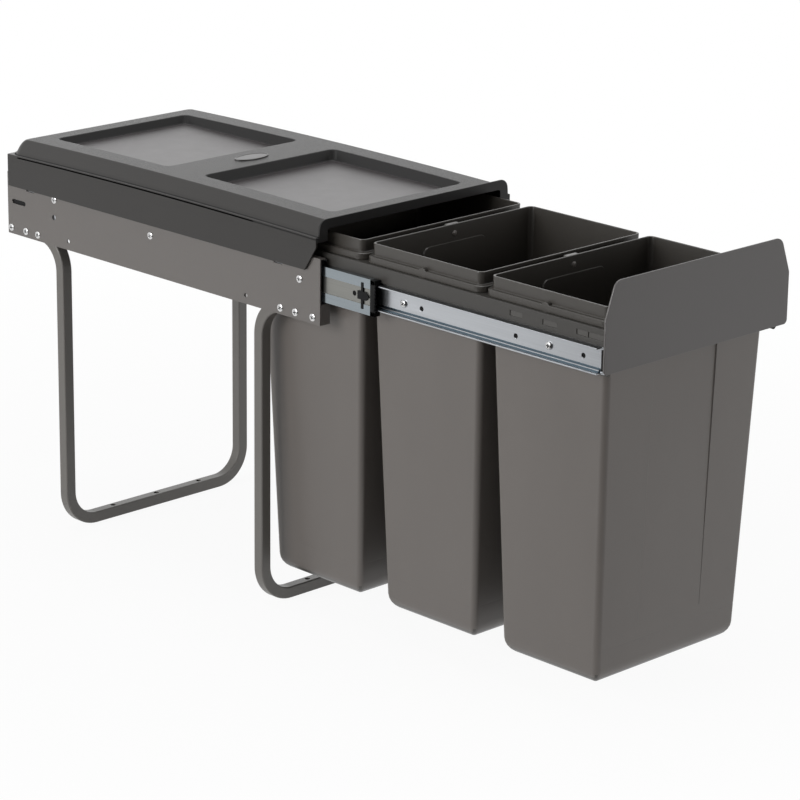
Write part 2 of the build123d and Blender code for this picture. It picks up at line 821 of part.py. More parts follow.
save("lid", lid())
save("lid_badge", lid_badge())
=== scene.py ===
import json
from math import cos, pi, radians, sin, sqrt

import bmesh
import bpy
from mathutils import Matrix, Vector


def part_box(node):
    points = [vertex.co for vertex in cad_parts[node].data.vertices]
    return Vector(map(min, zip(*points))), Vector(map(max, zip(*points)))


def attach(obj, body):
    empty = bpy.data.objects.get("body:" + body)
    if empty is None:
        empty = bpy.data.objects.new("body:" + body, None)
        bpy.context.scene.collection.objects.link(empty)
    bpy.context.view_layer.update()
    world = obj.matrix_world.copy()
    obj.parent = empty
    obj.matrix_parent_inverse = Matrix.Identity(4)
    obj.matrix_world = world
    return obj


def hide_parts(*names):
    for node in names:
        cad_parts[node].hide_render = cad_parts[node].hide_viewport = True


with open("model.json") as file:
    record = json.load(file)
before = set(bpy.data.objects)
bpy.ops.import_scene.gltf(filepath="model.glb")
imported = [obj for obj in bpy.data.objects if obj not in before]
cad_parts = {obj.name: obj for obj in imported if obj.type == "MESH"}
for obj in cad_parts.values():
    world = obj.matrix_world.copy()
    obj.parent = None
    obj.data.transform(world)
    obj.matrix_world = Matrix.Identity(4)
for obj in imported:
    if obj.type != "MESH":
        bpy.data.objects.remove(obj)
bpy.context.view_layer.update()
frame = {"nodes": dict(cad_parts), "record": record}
nodes = frame["nodes"]
record = frame["record"]
bodyOf = {node: body for body, members in record["behaviour"]["bodies"].items() for node in members}
slotOf = {part["node"]: part["material_slot"] for part in record["subparts"]}
mm = 0.001
apart = 20  # millimetres between two rings while they are bridged
hair = 0.01  # millimetres within which two heights are the same
slack = 0.1  # millimetres that an edge or a face may stand off its place
around = 1.0  # millimetres past an outline that still belong to it
aligned = 0.9  # share of a normal along an axis, from which its face looks that way
print("frame loaded:", len(nodes), "nodes")


# Shader maths

class Wire:
    def __init__(self, shader, socket):
        self.shader = shader
        self.socket = socket

    def __add__(self, other):
        return self.shader.calc("ADD", self, other)

    def __sub__(self, other):
        return self.shader.calc("SUBTRACT", self, other)

    def __rsub__(self, other):
        return self.shader.calc("SUBTRACT", other, self)

    def __mul__(self, other):
        return self.shader.calc("MULTIPLY", self, other)

    __radd__ = __add__
    __rmul__ = __mul__


class Shader:
    def __init__(self, owner):
        self.owner = owner
        owner.use_nodes = True
        self.tree = owner.node_tree
        self.tree.nodes.clear()

    def node(self, kind, settings=None, inputs=None, output=0):
        made = self.tree.nodes.new("ShaderNode" + kind)
        for key, value in (settings or {}).items():
            if key == "stops":
                for element, (place, level) in zip(made.color_ramp.elements, value):
                    element.position = place
                    element.color = (level, level, level, 1)
            else:
                setattr(made, key, value)
        for key, value in (inputs or {}).items():
            if isinstance(value, Wire):
                self.tree.links.new(value.socket, made.inputs[key])
            else:
                made.inputs[key].default_value = value
        return Wire(self, made.outputs[output]) if len(made.outputs) else None

    def calc(self, operation, first, second):
        return self.node("Math", {"operation": operation}, {0: first, 1: second})

    def place(self, stretch=(1, 1, 1)):
        where = self.node("TexCoord", output="Object")
        return self.node("Mapping", None, {"Vector": where, "Scale": stretch})

    def noise(self, scale, detail, rough=0.5, stretch=(1, 1, 1)):
        inputs = {"Vector": self.place(stretch), "Scale": scale, "Detail": detail, "Roughness": rough}
        return self.node("TexNoise", None, inputs)

    def ramp(self, wire, black, white):
        return self.node("ValToRGB", {"stops": ((black, 0), (white, 1))}, {"Fac": wire})

    def mix(self, amount, first, second):
        return self.node("Mix", {"data_type": "RGBA"}, {0: amount, 6: first, 7: second}, output=2)

    def vary(self, wire, middle, width):
        # From 0 to 1 on the wire to a span of that width round the middle
        return wire * width + (middle - width / 2)

    def bump(self, height, distance):
        return self.node("Bump", None, {"Height": height, "Distance": distance, "Strength": 1.0})

    def finish(self, **sockets):
        named = {key.replace("_", " "): value for key, value in sockets.items()}
        surface = self.node("BsdfPrincipled", None, named)
        self.node("OutputMaterial", None, {"Surface": surface})
        return self.owner


def rgb(red, green, blue):
    def level(value):
        share = value / 255
        return share / 12.92 if share <= 0.04045 else ((share + 0.055) / 1.055) ** 2.4
    return (level(red), level(green), level(blue), 1)


def shade(colour, factor):
    return tuple(channel * factor for channel in colour[:3]) + (1,)


# Finishes

def powderCoat(name, colour, roughness):
    # Baked powder coat: a faint orange peel and slow changes of tone
    paint = Shader(bpy.data.materials.new(name))
    drift = paint.noise(scale=7, detail=2)
    speck = paint.noise(scale=1500, detail=2)
    peel = paint.noise(scale=420, detail=2)
    tone = paint.ramp(drift * 0.6 + speck * 0.4, black=0.25, white=0.75)
    return paint.finish(
        Base_Color=paint.mix(tone, shade(colour, 0.94), shade(colour, 1.06)),
        Roughness=paint.vary(drift, roughness, 0.12),
        Normal=paint.bump(peel, 0.00005),
        IOR=1.6,
    )


def mouldedPlastic(name, colour, roughness, ior=1.55):
    # Injection-moulded polypropylene: a fine spark-eroded skin and faint flow marks
    plastic = Shader(bpy.data.materials.new(name))
    flow = plastic.noise(scale=9, detail=3, rough=0.6, stretch=(1, 1, 0.35))
    skin = plastic.noise(scale=900, detail=2, rough=0.6)
    rub = plastic.noise(scale=55, detail=4, rough=0.65)
    tone = plastic.ramp(flow * 0.7 + skin * 0.3, black=0.3, white=0.7)
    return plastic.finish(
        Base_Color=plastic.mix(tone, shade(colour, 0.93), shade(colour, 1.07)),
        Roughness=plastic.vary(rub, roughness, 0.06),
        Normal=plastic.bump(skin, 0.000024),
        IOR=ior,
    )


def leatherGrain(name, colour, roughness):
    # The lid's deck: a pebbled leather grain of about one millimetre
    deck = Shader(bpy.data.materials.new(name))
    cells = deck.node("TexVoronoi", {"feature": "SMOOTH_F1"}, {"Vector": deck.place(), "Scale": 950.0})
    pebble = deck.noise(scale=1300, detail=2, rough=0.6)
    flow = deck.noise(scale=11, detail=3)
    height = cells * 0.7 + pebble * 0.6
    tone = deck.ramp(height * 0.8 + flow * 0.3, black=0.25, white=0.95)
    return deck.finish(
        Base_Color=deck.mix(tone, shade(colour, 0.84), shade(colour, 1.14)),
        Roughness=deck.vary(pebble, roughness, 0.2),
        Normal=deck.bump(height, 0.00035),
        IOR=1.4,
    )


def zincPlate(name, colour, roughness, streak=1.0):
    # Bright zinc on rolled strip: drawing lines along the strip and a cloudy passivation
    zinc = Shader(bpy.data.materials.new(name))
    lines = zinc.noise(scale=600, detail=3, rough=0.6, stretch=(1, 0.012, 1))
    cloud = zinc.noise(scale=18, detail=2, stretch=(1, 0.3, 1))
    tone = zinc.ramp(cloud * 0.5 + lines * 0.5, black=0.3, white=0.7)
    return zinc.finish(
        Base_Color=zinc.mix(tone, shade(colour, 0.86), shade(colour, 1.04)),
        Metallic=1.0,
        Roughness=zinc.vary(cloud, roughness, 0.08),
        Normal=zinc.bump(lines, 0.000004 * streak),
    )


def polishedSteel(name, colour, roughness):
    steel = Shader(bpy.data.materials.new(name))
    turning = steel.noise(scale=900, detail=2)
    return steel.finish(
        Base_Color=steel.mix(turning, shade(colour, 0.9), shade(colour, 1.05)),
        Metallic=1.0,
        Roughness=steel.vary(turning, roughness, 0.1),
        Normal=steel.bump(turning, 0.00001),
    )


finishes = {
    "panel_steel": powderCoat("panelPowderCoat", rgb(88, 84, 81), 0.42),
    "tube_steel": powderCoat("tubePowderCoat", rgb(88, 85, 81), 0.4),
    "zinc_steel": zincPlate("slideZinc", rgb(190, 193, 197), 0.3),
    "bright_screw": polishedSteel("screwNickel", rgb(214, 214, 214), 0.2),
    "ball_steel": polishedSteel("ballSteel", rgb(205, 207, 210), 0.12),
    "black_plastic": mouldedPlastic("blackAcetal", rgb(8, 8, 9), 0.45, ior=1.25),
    "lid_plastic": mouldedPlastic("lidPlain", rgb(34, 32, 30), 0.36, ior=1.46),
    "bin_plastic": mouldedPlastic("binSides", rgb(88, 83, 79), 0.42, ior=1.6),
    "carrier_plastic": mouldedPlastic("carrierPlastic", rgb(50, 48, 45), 0.42, ior=1.5),
    "plate_steel": powderCoat("platePowderCoat", rgb(74, 71, 70), 0.42),
    "badge_plastic": mouldedPlastic("badgePlastic", rgb(50, 48, 47), 0.34),
}
# A smoother copy of the bin plastic for the rim band and the inside, its colour darkened as painted shade
binSmoothShaded = mouldedPlastic("binRimAndInsidePaintedShade", rgb(56, 53, 49), 0.36)
lidGrain = leatherGrain("lidGrain", rgb(33, 32, 31), 0.42)
# Near-black copy of the lid plastic: painted shade on the recess walls and the front flange, and a painted
# shadow line in the groove along the step
lidPaintedShade = mouldedPlastic("lidRecessWallsPaintedShade", rgb(24, 23, 23), 0.45, ior=1.35)
# Paler copy of the lid plastic for the recess floors: painted reflection in its colour
lidFloorPaintedReflection = mouldedPlastic("lidRecessFloorPaintedReflection", rgb(60, 56, 57), 0.36)
# Darker copies of the zinc for the middle member's web and strips: painted shade
middleWebShaded = zincPlate("middleWebPaintedShadeZinc", rgb(140, 140, 136), 0.34, streak=8.0)
middleStripShaded = zincPlate("middleStripPaintedShadeZinc", rgb(148, 156, 161), 0.22, streak=4.0)
# Darker teal copy of the zinc for the rolled race: painted reflection of the dark channel
racePaintedReflectionZinc = zincPlate("racePaintedReflectionZinc", rgb(88, 102, 112), 0.26)
carrierRib = mouldedPlastic("carrierRib", rgb(62, 60, 57), 0.4)
print("finishes made")


# Mesh helpers

def meshFrom(bm, name):
    mesh = bpy.data.meshes.new(name)
    bm.to_mesh(mesh)
    bm.free()
    return mesh


def addObject(name, data):
    thing = bpy.data.objects.new(name, data)
    bpy.context.scene.collection.objects.link(thing)
    return thing


def finishPiece(bm, name, node, crease=35, extra=(), weighted=True):
    mesh = meshFrom(bm, name)
    mesh.shade_smooth()
    mesh.set_sharp_from_angle(angle=radians(crease))
    piece = addObject(name, mesh)
    for finish in (finishes[slotOf[node]], *extra):
        mesh.materials.append(finish)
    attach(piece, bodyOf[node])
    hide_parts(node)
    if weighted:
        piece.modifiers.new("weights", "WEIGHTED_NORMAL").keep_sharp = True


def mergeInto(bm, part):
    mesh = meshFrom(part, "part")
    bm.from_mesh(mesh)
    bpy.data.meshes.remove(mesh)


def boxOf(node):
    return [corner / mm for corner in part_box(node)]


def middleOf(face):
    return face.calc_center_median() / mm


def sharpEdges(edges, degrees):
    return [edge for edge in edges if edge.calc_face_angle(0) > radians(degrees)]


def jointsOf(walls):
    # The edges that lie between two of the walls
    return [
        edge for edge in {edge for face in walls for edge in face.edges}
        if all(face in walls for face in edge.link_faces)
    ]


def bevel(bm, geom, width, segments=2, affect="EDGES"):
    bmesh.ops.bevel(
        bm, geom=geom, offset=width * mm, offset_type="OFFSET", segments=segments,
        profile=0.5, affect=affect, material=-1, clamp_overlap=False,
    )


def cutAcross(bm, place, across, clear=False):
    bmesh.ops.bisect_plane(
        bm, geom=bm.verts[:] + bm.edges[:] + bm.faces[:], plane_co=[value * mm for value in place],
        plane_no=across, clear_outer=clear,
    )


def insetFaces(bm, faces, thickness, depth):
    return bmesh.ops.inset_region(
        bm, faces=faces, thickness=thickness * mm, depth=depth * mm, use_boundary=True, use_even_offset=True,
    )["faces"]


def cadCopy(node):
    bm = bmesh.new()
    bm.from_mesh(nodes[node].data)
    bmesh.ops.remove_doubles(bm, verts=bm.verts, dist=2e-6)
    return bm


def softenedCopy(node, width, sharpest=50, shortest=0.6):
    bm = cadCopy(node)
    edges = [edge for edge in sharpEdges(bm.edges, sharpest) if edge.calc_length() > shortest * mm]
    bevel(bm, edges, width)
    return bm


def ovalRing(bm, halfX, halfY, z, middleY, segments):
    before = set(bm.edges)
    place = Matrix.Translation((0, middleY * mm, z * mm)) @ Matrix.Diagonal((halfX * mm, halfY * mm, 1, 1))
    bmesh.ops.create_circle(bm, cap_ends=False, radius=1, segments=segments, matrix=place)
    return [edge for edge in bm.edges if edge not in before]


def roundedRing(bm, halfX, halfY, corner, z, middleY, segments):
    before = set(bm.edges)
    spread = Matrix.Diagonal((halfX * mm, halfY * mm, 1, 1)) @ Matrix.Rotation(pi / 4, 4, "Z")
    place = Matrix.Translation((0, middleY * mm, z * mm)) @ spread
    made = bmesh.ops.create_circle(bm, cap_ends=False, radius=sqrt(2), segments=4, matrix=place)
    bevel(bm, made["verts"], corner, segments, "VERTICES")
    return [edge for edge in bm.edges if edge not in before]


def bridgeStack(bm, loops, heights):
    # The rings are bridged while they stand well apart, and then set to their heights
    for lower, upper in zip(loops, loops[1:]):
        bmesh.ops.bridge_loops(bm, edges=lower + upper)
    caps = [bmesh.ops.contextual_create(bm, geom=loop)["faces"][0] for loop in (loops[0], loops[-1])]
    bmesh.ops.recalc_face_normals(bm, faces=bm.faces)
    if bm.calc_volume(signed=True) < 0:
        bmesh.ops.reverse_faces(bm, faces=bm.faces)
    for loop, height in zip(loops, heights):
        for vert in {vert for edge in loop for vert in edge.verts}:
            vert.co.z = height * mm
    return caps


def stackRings(bm, rings, segments):
    # Each ring is half its width, half its length, its corner, its height and its middle in y
    loops = [
        roundedRing(bm, halfX, halfY, corner, apart * place, middleY, segments)
        for place, (halfX, halfY, corner, height, middleY) in enumerate(rings)
    ]
    return bridgeStack(bm, loops, [ring[3] for ring in rings])


def addBlock(bm, xs, ys, zs, width, segments=2, slot=0):
    before = set(bm.faces)
    spans = (xs, ys, zs)
    size = Matrix.Diagonal((*(abs(end - start) * mm for start, end in spans), 1))
    place = Matrix.Translation([(start + end) / 2 * mm for start, end in spans])
    made = bmesh.ops.create_cube(bm, size=1, matrix=place @ size)
    if width:
        bevel(bm, list({edge for vert in made["verts"] for edge in vert.link_edges}), width, segments)
    for face in set(bm.faces) - before:
        face.material_index = slot


# Bins

bins = {
    "halfWidth": 108.0, "halfLength": 72.0, "corner": 6.0, "cornerSteps": 6, "draft": 0.035,
    "wall": 2.0, "floor": 2.5, "footZ": 31.4, "footRound": 16.0, "footSteps": 6,
    # Height from the line's middle, and how far the wall is drawn in
    "mouldLineZ": 66.0, "mouldLine": ((-0.9, 0), (-0.45, 0.15), (0.45, 0.15), (0.9, 0)),
    # Height from the ledge's underside, and inset from its edge
    "ledgeZ": 376.5, "ledge": ((0, 0.5), (0.5, 0), (5.8, 0), (6.5, 0.7)),
    "ledgeTopZ": 383.0, "ledgeReach": 4.3, "ledgeFillet": 0.6,
    # Height from the rim and inset from the outer face, over to the inner face
    "rimZ": 395.0, "rim": ((-0.8, 0), (-0.2, 0.2), (0, 0.7), (0, 1.4), (-0.25, 1.85), (-0.8, 2.0)),
    # The smoother finish, darkened as painted shade, starts at this height outside, and this far in from the
    # outer face inside
    "smoothShadedZ": 375.5, "smoothShadedInset": 1.8,
    # The sunk panels of the front and rear walls, outside and inside
    "panelHalf": 42.5, "outerPanelZ": (78.0, 368.0), "innerPanelZ": (78.0, 378.5),
    "outerPanelDepth": -1.6, "innerPanelDepth": -1.2, "panelTaper": 0.95,
    "panelEdge": 0.5, "panelCorner": 7.0, "panelCornerSteps": 5,
    "bumpRadius": 5.0, "bumpZ": 380.5, "bumpDepth": 5.4, "bumpInset": 0.1, "bumpRound": 0.5,
    "bossRadius": 3.0, "bossDrop": 9.0, "bossReach": 1.3,
    "tabHalf": 8.0, "tabInside": 1.6, "tabReach": 4.0, "tabHeight": 4.0, "tabRound": 0.7,
}


def binRings(centreY):
    # Up the outside, over the rim and down the inside
    b = bins

    def wall(z, inset=0.0):
        drawn = b["draft"] * (b["rimZ"] - z) + inset
        return b["halfWidth"] - drawn, b["halfLength"] - drawn, b["corner"] - inset / 2, z, centreY

    def foot(inset, radius, z):
        turns = [pi / 2 * (1 - step / b["footSteps"]) for step in range(b["footSteps"] + 1)]
        return [wall(z + radius * (1 - sin(turn)), inset + radius * (1 - cos(turn))) for turn in turns]

    def ledge(inset, z):
        grown = b["ledgeReach"] - inset
        return b["halfWidth"] + grown, b["halfLength"] + grown, b["corner"] + b["ledgeReach"], z, centreY

    fillet = b["ledgeFillet"]
    rings = foot(0, b["footRound"], b["footZ"])
    rings += [wall(b["mouldLineZ"] + rise, inset) for rise, inset in b["mouldLine"]]
    rings += [wall(z) for z in (*b["outerPanelZ"], b["ledgeZ"] - fillet)] + [wall(b["ledgeZ"], -fillet)]
    rings += [ledge(inset, b["ledgeZ"] + rise) for rise, inset in b["ledge"]]
    rings += [wall(b["ledgeTopZ"], -fillet), wall(b["ledgeTopZ"] + fillet)]
    rings += [wall(b["rimZ"] + rise, inset) for rise, inset in b["rim"]]
    rings += [wall(z, b["wall"]) for z in reversed(b["innerPanelZ"])]
    return rings + list(reversed(foot(b["wall"], b["footRound"] - b["wall"], b["footZ"] + b["floor"])))


def sinkPanel(bm, centreY, facing, outward, heights, sunk):
    # A shallow panel with round upper corners, which fades out towards the foot
    low, high = heights
    chosen = []
    for face in bm.faces:
        middle = middleOf(face)
        turned = face.normal.y * facing * outward > aligned
        across = (middle.y - centreY) * facing > bins["halfLength"] / 2
        if turned and across and abs(middle.x) < bins["panelHalf"] and low < middle.z < high:
            chosen.append(face)
    walls = insetFaces(bm, chosen, bins["panelEdge"], sunk * outward)
    corners = [
        edge for edge in sharpEdges(jointsOf(walls), 35)
        if max(vert.co.z for vert in edge.verts) > (low + high) / 2 * mm
    ]
    for vert in {vert for face in chosen for vert in face.verts}:
        share = min(1.0, max(0.0, (vert.co.z / mm - low) / (high - low)))
        vert.co.y -= facing * sunk * bins["panelTaper"] * (1 - share) * mm
    bevel(bm, corners, bins["panelCorner"], bins["panelCornerSteps"])


def wasteBin(name, node):
    b = bins
    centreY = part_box(node)[0].y / mm + b["halfLength"] + b["ledgeReach"]
    bm = bmesh.new()
    stackRings(bm, binRings(centreY), b["cornerSteps"])
    for x in (-b["panelHalf"], b["panelHalf"]):
        cutAcross(bm, (x, 0, 0), (1, 0, 0))
    for facing in (-1, 1):
        sinkPanel(bm, centreY, facing, 1, b["outerPanelZ"], b["outerPanelDepth"])
        sinkPanel(bm, centreY, facing, -1, b["innerPanelZ"], b["innerPanelDepth"])
    tabY = centreY + b["halfLength"]
    addBlock(
        bm, (-b["tabHalf"], b["tabHalf"]), (tabY - b["tabInside"], tabY + b["tabReach"]),
        (b["rimZ"] - b["tabHeight"], b["rimZ"]), b["tabRound"], 3,
    )
    for side in (-1, 1):
        x = side * (b["halfWidth"] + b["ledgeReach"] - b["bumpInset"] - b["bumpDepth"] / 2)
        place = Matrix.Translation((x * mm, centreY * mm, b["bumpZ"] * mm))
        made = bmesh.ops.create_cone(
            bm, cap_ends=True, segments=40, radius1=b["bumpRadius"] * mm, radius2=b["bumpRadius"] * mm,
            depth=b["bumpDepth"] * mm, matrix=place @ Matrix.Rotation(pi / 2, 4, "Y"),
        )
        edges = {edge for vert in made["verts"] for edge in vert.link_edges}
        bevel(bm, sharpEdges(edges, 60), b["bumpRound"])
    # The rim band and the inside take the darker copy: painted shade
    for face in bm.faces:
        x, y, z = middleOf(face)
        drawn = b["draft"] * (b["rimZ"] - z) + b["smoothShadedInset"]
        inside = abs(x) < b["halfWidth"] - drawn and abs(y - centreY) < b["halfLength"] - drawn
        smoothShaded = z > b["smoothShadedZ"] or inside and z > b["footZ"] + b["floor"] / 2
        face.material_index = 1 if smoothShaded else 0
    bossY = centreY + b["halfLength"] - b["draft"] * b["bossDrop"] - b["wall"]
    place = Matrix.Translation((0, bossY * mm, (b["rimZ"] - b["bossDrop"]) * mm))
    size = Matrix.Diagonal((b["bossRadius"] * mm, b["bossReach"] * mm, b["bossRadius"] * mm, 1))
    turn = Matrix.Rotation(pi / 2, 4, "X")
    bmesh.ops.create_uvsphere(bm, u_segments=24, v_segments=12, radius=1, matrix=place @ size @ turn)
    finishPiece(bm, name, node, crease=32, extra=(binSmoothShaded,))


for name, node in (("binFront", "bin_front"), ("binMiddle", "bin_middle"), ("binRear", "bin_rear")):
    wasteBin(name, node)
print("bins made")


# Lid

lid = {
    "halfWidth": 131.0, "rearY": 230.3, "frontY": -240.0, "beyond": 30.0, "wall": 1.8, "cornerSteps": 8,
    "crownZ": 409.1, "crownY": -20.0, "crownRadius": 10000.0, "deckDrop": 13.3, "deckHalf": 112.3,
    "deckCorner": 5.0, "stepCorner": 17.0, "bodyHalf": 129.0, "bodyRearY": 228.8, "rearRoll": 7.5, "rows": 13,
    # Inset from the skirt, and drop from the step
    "skirtZ": 359.5, "skirtCorner": 2.0, "skirtRound": ((0, 0.8), (0.24, 0.24), (0.8, 0)),
    # Reach past the body, and drop from the step
    "groove": ((0.9, 0), (0.8, 1.5), (0, 1.5)), "grooveDepth": 1.5,
    # Depth under the crown, and what the deck's round edge takes off the side
    "sideLevels": (
        (12.5, 0), (10.0, 0), (7.5, 0), (5.5, 0), (3.6, 0), (2.2, 0), (1.2, 0),
        (0.45, 0), (0.09, 0.18), (0, 0.63),
    ),
    # Place and height of the two ends of the sloping cut at the front
    "slope": ((-223.2, 359.5), (-240.0, 385.0)),
    "recesses": ((202.0, 24.0), (-29.0, -215.5)), "recessHalf": 88.0, "recessFloorZ": 398.5,
    "recessSlope": 4.5, "recessCorner": 6.0, "recessCornerSteps": 6, "recessRim": 1.2, "recessFoot": 1.6,
    "recessMargin": 4.0, "grainDrop": 0.3, "floorRise": 0.5,
    "ledgeX": (129.5, 123.2), "ledgeY": (-219.2, 229.3), "ledgeZ": (373.0, 375.0), "ledgeRound": 0.3,
    "tongueX": (129.5, 126.9), "tonguesY": ((189.6, 203.4), (-189.6, -176.4)), "tongueZ": (359.9, 375.0),
}
lidFrame = {
    "half": 126.0, "topZ": 409.78, "footZ": 388.0, "shoulderX": 127.5, "shoulderZ": 392.8, "edgeX": 130.1,
    "openHalf": 116.4, "openZ": 400.18, "corner": 8.5, "openCorner": 3.0, "thickness": 1.8, "edgeRound": 0.35,
}


def thicken(bm, wall):
    # A wall grown inwards, without the even offset that throws spikes at sharp corners
    mesh = bpy.data.meshes.new("skin")
    bm.to_mesh(mesh)
    skin = addObject("skin", mesh)
    modifier = skin.modifiers.new("wall", "SOLIDIFY")
    modifier.thickness = wall * mm
    modifier.offset = -1
    modifier.use_even_offset = False
    bpy.context.view_layer.update()
    shell = bpy.data.meshes.new_from_object(skin.evaluated_get(bpy.context.evaluated_depsgraph_get()))
    bm.clear()
    bm.from_mesh(shell)
    bpy.data.objects.remove(skin)
    for spare in (mesh, shell):
        bpy.data.meshes.remove(spare)


def lidRings():
    # Skirt, groove along the step, sloping sides, and a rear end that stays upright and rolls over
    crown, step = lid["crownZ"], lid["crownZ"] - lid["deckDrop"]
    half, body, roll = lid["halfWidth"], lid["bodyHalf"], lid["rearRoll"]
    front = lid["frontY"] - lid["beyond"]

    def ring(inset, rearY, corner, z):
        return half - inset, (rearY - front) / 2, corner, z, (rearY + front) / 2

    rings = [ring(0, lid["rearY"], lid["skirtCorner"], lid["skirtZ"])]
    for inset, drop in lid["skirtRound"]:
        rings.append(ring(inset, lid["rearY"] - inset, lid["skirtCorner"], step - drop))
    for reach, drop in lid["groove"]:
        rings.append(ring(half - body - reach, lid["bodyRearY"] + reach, lid["stepCorner"], step - drop))
    for depth, taken in lid["sideLevels"]:
        share = 1 - depth / lid["deckDrop"]
        corner = lid["stepCorner"] + (lid["deckCorner"] - lid["stepCorner"]) * share
        inset = half - body + (body - lid["deckHalf"]) * share + taken
        rolled = sqrt(roll ** 2 - max(0.0, roll - depth) ** 2)
        rings.append(ring(inset, lid["bodyRearY"] - roll + rolled, corner, crown - depth))
    return rings


def sinkRecess(bm, rear, front):
    crown, floor, half = lid["crownZ"], lid["recessFloorZ"], lid["recessHalf"]

    def within(place, margin=0.0):
        return abs(place.x) < half + margin and front - margin < place.y < rear + margin

    chosen = []
    for face in bm.faces:
        middle = middleOf(face)
        if within(middle) and middle.z > crown - hair:
            chosen.append(face)
    walls = insetFaces(bm, chosen, lid["recessSlope"], floor - crown)
    bevel(bm, jointsOf(walls), lid["recessCorner"], lid["recessCornerSteps"])
    rims, feet = [], []
    for edge in sharpEdges(bm.edges, 20):
        ends = [vert.co / mm for vert in edge.verts]
        if all(within(end, slack) for end in ends):
            if all(end.z > crown - slack for end in ends):
                rims.append(edge)
            elif all(end.z < floor + slack for end in ends):
                feet.append(edge)
    bevel(bm, rims, lid["recessRim"], 3)
    bevel(bm, [edge for edge in feet if edge.is_valid], lid["recessFoot"], 3)
    for face in bm.faces:
        middle = middleOf(face)
        if within(middle, lid["recessMargin"]):
            flat = face.normal.z > aligned and middle.z < floor + lid["floorRise"]
            # The recess walls take the near-black copy as painted shade, and the floors the paler copy as
            # painted reflection
            face.material_index = 1 if middle.z > crown - lid["grainDrop"] else 3 if flat else 2


def camberLid(bm):
    for vert in bm.verts:
        x, y, z = vert.co / mm
        sunk = any(front - around < y < rear + around for rear, front in lid["recesses"])
        sunk = sunk and abs(x) < lid["recessHalf"] + around
        foot = lid["recessFloorZ"] if sunk else lid["skirtZ"]
        head = lid["crownZ"] if sunk else lid["crownZ"] - lid["deckDrop"]
        share = min(1.0, max(0.0, (z - foot) / (head - foot)))
        vert.co.z -= share * (y - lid["crownY"]) ** 2 / (2 * lid["crownRadius"]) * mm


def frontFlange():
    # The upright flange round the lid's front end, open below for the bins
    f = lidFrame
    outline = [
        (f["openHalf"], f["footZ"]), (f["edgeX"], f["footZ"]), (f["edgeX"], f["shoulderZ"]),
        (f["shoulderX"], f["shoulderZ"]), (f["half"], f["topZ"]),
    ]
    outline += [(-x, z) for x, z in reversed(outline)]
    outline += [(-f["openHalf"], f["openZ"]), (f["openHalf"], f["openZ"])]
    bm = bmesh.new()
    bm.faces.new([bm.verts.new((x * mm, lid["frontY"] * mm, z * mm)) for x, z in outline])
    for height, corner in ((f["topZ"], f["corner"]), (f["openZ"], f["openCorner"])):
        bevel(bm, [vert for vert in bm.verts if abs(vert.co.z / mm - height) < hair], corner, 6, "VERTICES")
    grown = bmesh.ops.extrude_face_region(bm, geom=bm.faces[:])["geom"]
    moved = [item for item in grown if isinstance(item, bmesh.types.BMVert)]
    bmesh.ops.translate(bm, verts=moved, vec=(0, f["thickness"] * mm, 0))
    bmesh.ops.recalc_face_normals(bm, faces=bm.faces)
    bevel(bm, sharpEdges(bm.edges, 60), f["edgeRound"])
    # The whole flange takes the near-black copy: painted shade
    for face in bm.faces:
        face.material_index = 2
    return bm


def lidShell():
    step = lid["crownZ"] - lid["deckDrop"]
    bm = bmesh.new()
    caps = stackRings(bm, lidRings(), lid["cornerSteps"])
    bmesh.ops.delete(bm, geom=[caps[0]], context="FACES_ONLY")
    cutAcross(bm, (0, lid["frontY"] + lid["wall"] / 2, 0), (0, -1, 0), clear=True)
    for x in (-lid["recessHalf"], lid["recessHalf"]):
        cutAcross(bm, (x, 0, 0), (1, 0, 0))
    rows = [y for pair in lid["recesses"] for y in pair]
    rows += [rows[0] + (rows[-1] - rows[0]) * place / lid["rows"] for place in range(1, lid["rows"])]
    for y in rows:
        cutAcross(bm, (0, y, 0), (0, 1, 0))
    for face in bm.faces:
        x, y, z = middleOf(face)
        # The groove's faces take the near-black copy: a painted shadow line along the step
        sunk = step - lid["grooveDepth"] - slack < z < step - slack
        grooveShadow = sunk and abs(x) < lid["bodyHalf"] + around and y < lid["bodyRearY"] + around
        face.material_index = 1 if z > lid["crownZ"] - hair else 2 if grooveShadow else 0
    for rear, front in lid["recesses"]:
        sinkRecess(bm, rear, front)
    cutAcross(bm, (0, 0, lid["ledgeZ"][1]), (0, 0, 1))
    innerX = lid["halfWidth"] - lid["wall"]
    for x in (-innerX, innerX):
        cutAcross(bm, (x, 0, 0), (1, 0, 0))
    # The rear end is open below the ledge
    low = []
    for face in bm.faces:
        middle = middleOf(face)
        if face.normal.y > aligned and middle.z < lid["ledgeZ"][1] and abs(middle.x) < innerX:
            low.append(face)
    bmesh.ops.delete(bm, geom=low, context="FACES")
    camberLid(bm)
    (tipY, tipZ), (headY, headZ) = lid["slope"]
    cutAcross(bm, (0, tipY, tipZ), (0, tipZ - headZ, headY - tipY), clear=True)
    thicken(bm, lid["wall"])
    reach = lid["halfWidth"] * mm
    for vert in bm.verts:
        vert.co.x = max(-reach, min(reach, vert.co.x))
    for side in (-1, 1):
        addBlock(bm, [side * x for x in lid["ledgeX"]], lid["ledgeY"], lid["ledgeZ"], lid["ledgeRound"])
        for tongueY in lid["tonguesY"]:
            addBlock(bm, [side * x for x in lid["tongueX"]], tongueY, lid["tongueZ"], lid["ledgeRound"])
    mergeInto(bm, frontFlange())
    finishPiece(bm, "lidShell", "lid", crease=40, extra=(lidGrain, lidPaintedShade, lidFloorPaintedReflection))


lidShell()
print("lid made")


# Badge: a blank oval

